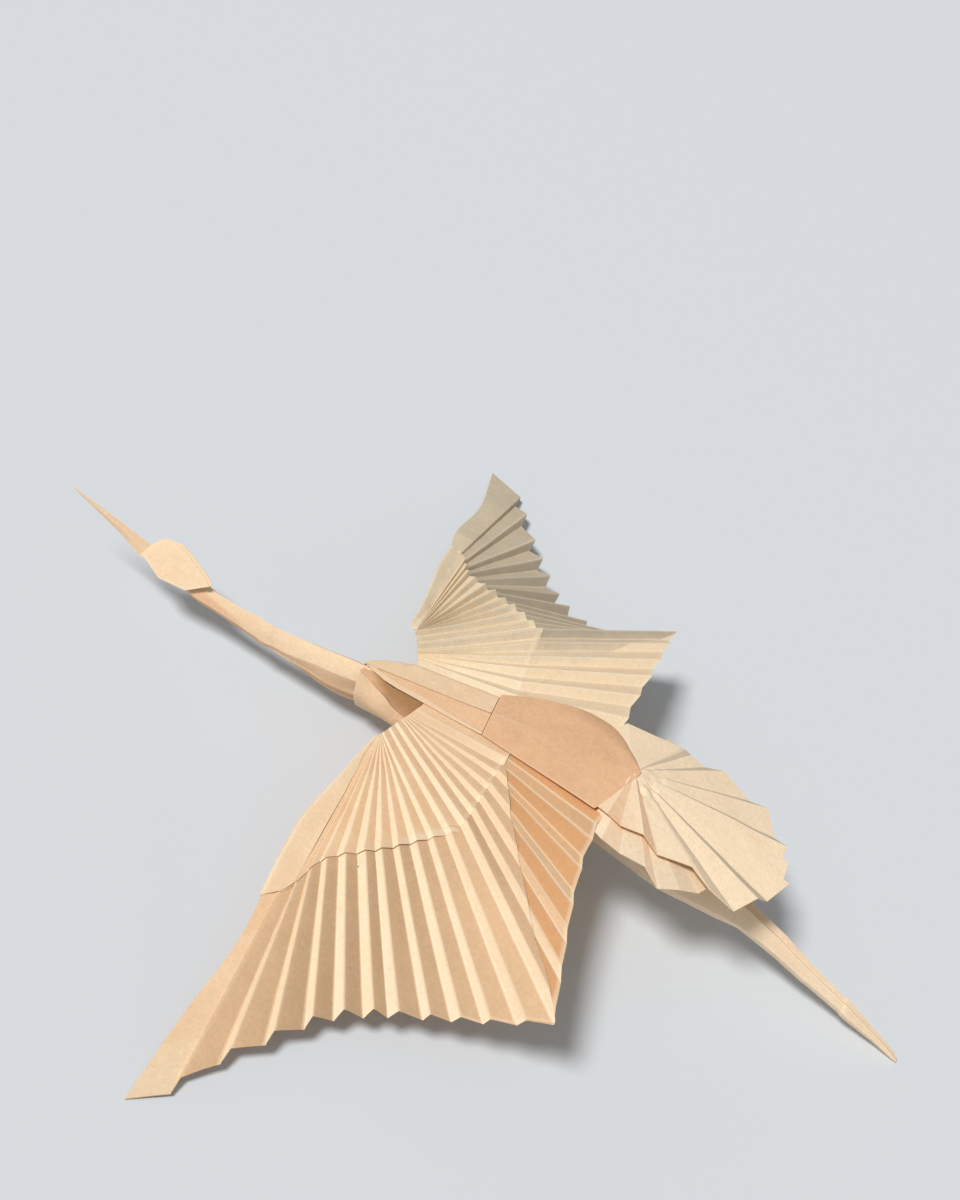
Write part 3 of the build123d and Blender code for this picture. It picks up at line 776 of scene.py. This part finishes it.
def makeHead():  # two folded sheets leaning to the far side, one showing past the other
    lean = radians(head["leanDeg"])
    ahead, rise = np.array([1.0, 0, 0]), np.array([0, sin(lean), cos(lean)])
    facing = np.array([0, -cos(lean), sin(lean)])
    outline = np.array(head["outline"])
    ring = np.concatenate([outline, outline[:1]])
    rim = lineThrough(np.arange(len(ring)), ring, np.linspace(0, len(outline), 81)[:-1])
    share = np.array([1.0, 0.97, 0.8, 0.6, 0.4, 0.2, 0.02])
    patches = []
    gap, layer = head["gap"], head["layer"]
    for low, high, shift in ((gap, gap + layer, (0, 0)), (-gap - layer, -gap, head["behind"])):
        flat = outline.mean(0) + (rim - outline.mean(0)) * share[:, None, None] + np.array(shift)
        sheet = np.array(head["middle"]) + flat[..., :1] * ahead + flat[..., 1:] * rise
        bulge = (head["bulge"] * (1 - share ** 2))[:, None, None]
        front = sheet + facing * (high + bulge * (high > 0))
        behind = sheet + facing * (low - bulge * (high < 0))
        wear = np.zeros((len(share) * 2, len(rim)))
        wear[len(share) - 2:len(share) + 2] = 0.7
        grid = np.concatenate([front[::-1], behind])
        patches.append(patch(grid, head["pliesAndShade"], wear, wrap=True, caps=True))
    grid, wear = foldedTube(head["bill"], 60, 5, 0.04, smooth=False)
    patches.append(patch(grid, head["billPlies"], wear * 0.6, wrap=True, caps=True, flip=True))
    return makePiece("head", patches, thickPaper)


# Legs, folded side by side with a groove between them. Stations are as the neck's.
legs = {
    "stations": [(68, -7, 4, -12, -20), (84, -6, 9, -13, -25), (97, -9, 10.5, -18, -28),
                 (120, -19, 8.5, -29.5, -36), (150, -29, 4.6, -35.5, -39.5),
                 (195.5, -53.2, 2.4, -55.8, -58.8), (197, -53.4, 2.9, -56.5, -59.9),
                 (220.6, -68.2, 1.6, -69.1, -70.1), (222.4, -69.5, 1, -70.2, -71)],
    "groove": 0.16, "pliesAndShade": 1.2, "rows": 150,
}


def makeLegs():
    x, top, half, side, low = np.array(legs["stations"], float).T
    zero = np.zeros_like(x)
    deep = legs["groove"] * (top - low)
    section = [(zero, top - deep), (-half / 2, top), (-half, side), (-half / 2, low),
               (zero, low + deep), (half / 2, low), (half, side), (half / 2, top)]
    corners = np.stack([np.stack([x, y, z], -1) for y, z in section], 1)
    grid, wear = foldedTube(corners, legs["rows"], 4, 0.04, smooth=False)
    wave = ripple(grid, 51, 30, 0.4) + ripple(grid, 52, 9, 0.12)
    grid = grid + np.array([0, 1, 0.8]) * wave[..., None]
    return makePiece("legs", [patch(grid, legs["pliesAndShade"], wear * 0.8, wrap=True, caps=True)], palePaper)


makeNeck()
makeHead()
makeLegs()

# Tail: a fan of folds about the end of the back. Each fold has a turn from the middle line, a reach and
# a lift. The other tables go by turn, the near side being negative.
tail = {
    "pivot": (95.5, 0.3, 5.9), "swingDeg": -4, "fall": 0.28, "root": 1.2,
    "besideFall": [(-112, 0.085), (-60, 0.055), (40, 0.12)], "lift": [(0, 1.4), (20, 0.6)],
    "sink": [(-112, 0.55), (-70, 0.1), (-60, 0), (45, 0), (66, 0.8)],          # under the back at each side
    "pliesAndShade": [(-112, 1.5), (-80, 1.25), (-40, 1.05), (0, 1)],
    # narrow faces of the tail folds are darker: painted shade
    "narrowShadePlies": [(-60, 1.75), (-45, 1.5), (-20, 0.5), (20, 0.15)],
    "folds": [(132, 20, 0), (112, 25, 0), (66, 30.4, -1), (60, 29.7, 1), (50.6, 32.9, -1), (47, 40.1, 1),
              (32.3, 46.9, -1), (30.3, 53.6, 1), (18.6, 55.1, -1), (16.2, 59.7, 1), (10.6, 58.4, -1),
              (9.8, 60.5, 1), (2.1, 60.5, -1), (1.4, 62.3, 1), (-9, 58.5, -1), (-13.8, 55.8, 1),
              (-24.5, 53.6, -1), (-31, 44.6, 1), (-33, 36.3, 1), (-51.8, 29.9, -1), (-61, 24.2, 1),
              (-80.6, 23.1, -0.6), (-95, 21.8, 0.5), (-112, 21.2, 0)],
    "lower": [(-104, 27, 0), (-90, 29.9, 0.4), (-76, 30.8, -0.6), (-60, 33.5, 0.6), (-54, 39.6, -0.6),
              (-43, 40.8, 0.6), (-33, 42.8, 0), (-10, 44, 0.3), (12, 43, -0.3), (34, 40, 0.4),
              (56, 35, -0.4), (80, 30, 0)],
    "lowerDrop": 1.2, "lowerFall": 0.06, "lowerPaler": 0.4,
    "gather": 7, "gatherWidth": 5, "gatherTurn": [(-62, 0), (-48, 1), (44, 1), (58, 0)],
    "crumple": 0.8, "foldWidth": 0.08, "foldWear": 0.8, "liftReach": 60, "rows": 40, "paperMm": 0.3,
}


def byTurn(key, turn):
    return tableAt(tail[key], turn)


def makeFan(folds, drop, fall, sunk, paler, seed):
    # straight folds from the pivot out to each reach, raised and lowered in turn
    turn, reach, side = np.array(sorted(folds, reverse=True), float).T
    cuts = np.array([0, 0.08, 0.25, 0.5, 0.75, 0.92])
    k = np.arange(len(turn))
    u = np.concatenate([(k[:-1, None] + cuts).ravel(), [k[-1]]])
    face = np.minimum(u.astype(int), len(turn) - 2)
    angle = np.radians(turn + tail["swingDeg"])
    beside = byTurn("besideFall", turn)
    slope = fall + beside + (tail["fall"] - beside) * np.clip(np.cos(np.radians(turn)), 0, 1)
    rise = byTurn("lift", turn) * side / tail["liftReach"] - slope
    ways = np.stack([np.cos(angle), np.sin(angle), rise], -1)
    r = np.linspace(0, 1, tail["rows"])[:, None]
    near = lineThrough(k, ways * tail["root"], u)
    grid = np.array(tail["pivot"]) + near + (lineThrough(k, ways * reach[:, None], u) - near) * r[..., None]
    at = np.interp(u, k, turn)
    away = r * np.interp(u, k, reach)
    gather = np.exp(-((away - tail["gather"]) / tail["gatherWidth"]) ** 2)     # crumpled beside the pivot
    gather = gather * byTurn("gatherTurn", at)
    raised = ripple(grid, seed, 24, 0.3) + ripple(grid, seed + 1, 9, 0.1) - drop - sunk * byTurn("sink", at)
    raised = raised + gather * ripple(grid, seed + 2, 4, tail["crumple"])
    grid = grid + np.array([0, 0, 1.0]) * raised[..., None]
    wear = np.clip(1 - np.abs(u - np.round(u)) / tail["foldWidth"], 0, 1) * tail["foldWear"]
    wear = np.maximum(wear, gather * np.clip(ripple(grid, seed + 3, 3, 1.6), 0, 1))
    # narrow faces take the painted shade tones
    narrow = (side[face] < 0) & (side[face + 1] > 0)
    pliesAndShade = np.where(narrow, byTurn("narrowShadePlies", at), byTurn("pliesAndShade", at)) - paler
    return patch(grid, pliesAndShade, wear, flip=True)


def makeTail():
    upper = makeFan(tail["folds"], 0, 0, 1, 0, 61)
    lower = makeFan(tail["lower"], tail["lowerDrop"], tail["lowerFall"], 0, tail["lowerPaler"], 63)
    return makePiece("tail", [upper, lower], palePaper, tail["paperMm"])


makeTail()

# Floor, light and camera.
stageLook = {
    "floorColor": (0.74, 0.77, 0.80, 1), "floorSize": 8.0, "floorPoints": 5, "worldStrength": 0.28,
    "keyStrength": 2.62, "keyFrom": (-0.44, -0.46, 0.77), "keySoftDeg": 12,
}
view = {"placeMm": (-68.89, -458.68, 476.59), "turnDeg": (44.129, -24.956, 19.825), "lensMm": 57.0}


def makeStage():
    half, count = stageLook["floorSize"] / 2, stageLook["floorPoints"]
    span = np.linspace(-half, half, count)
    grid = np.stack(np.meshgrid(span, span), -1).reshape(-1, 2)
    quads = quadsOf(np.arange(count ** 2).reshape(count, count))
    mesh = bpy.data.meshes.new("floor")
    mesh.from_pydata(np.concatenate([grid, np.zeros((count ** 2, 1))], 1).tolist(), [], quads.tolist())
    material = bpy.data.materials.new("paleFloor")
    material.use_nodes = True
    shader = material.node_tree.nodes["Principled BSDF"]
    shader.inputs["Base Color"].default_value = stageLook["floorColor"]
    shader.inputs["Roughness"].default_value = 0.9
    shader.inputs["Specular IOR Level"].default_value = 0.1
    mesh.materials.append(material)
    floor = bpy.data.objects.new("floor", mesh)
    bpy.context.scene.collection.objects.link(floor)
    world = bpy.data.worlds.new("studio")
    world.use_nodes = True
    world.node_tree.nodes["Background"].inputs["Color"].default_value = (1, 1, 1, 1)
    world.node_tree.nodes["Background"].inputs["Strength"].default_value = stageLook["worldStrength"]
    bpy.context.scene.world = world
    lamp = bpy.data.lights.new("key", "SUN")
    lamp.energy = stageLook["keyStrength"]
    lamp.angle = radians(stageLook["keySoftDeg"])
    lampObject = bpy.data.objects.new("key", lamp)
    lampObject.rotation_euler = Vector(stageLook["keyFrom"]).to_track_quat("Z", "Y").to_euler()
    bpy.context.scene.collection.objects.link(lampObject)


def makeCamera():
    camera = bpy.data.cameras.new("camera")
    camera.lens = view["lensMm"]
    camera.sensor_width = 36
    camera.sensor_fit = "AUTO"
    camera.clip_start = 0.01
    cameraObject = bpy.data.objects.new("camera", camera)
    cameraObject.location = np.array(view["placeMm"]) / 1000
    cameraObject.rotation_euler = [radians(v) for v in view["turnDeg"]]
    bpy.context.scene.collection.objects.link(cameraObject)
    bpy.context.scene.camera = cameraObject


makeStage()
makeCamera()
bpy.context.scene.view_settings.view_transform = "Standard"
print("stage ready")
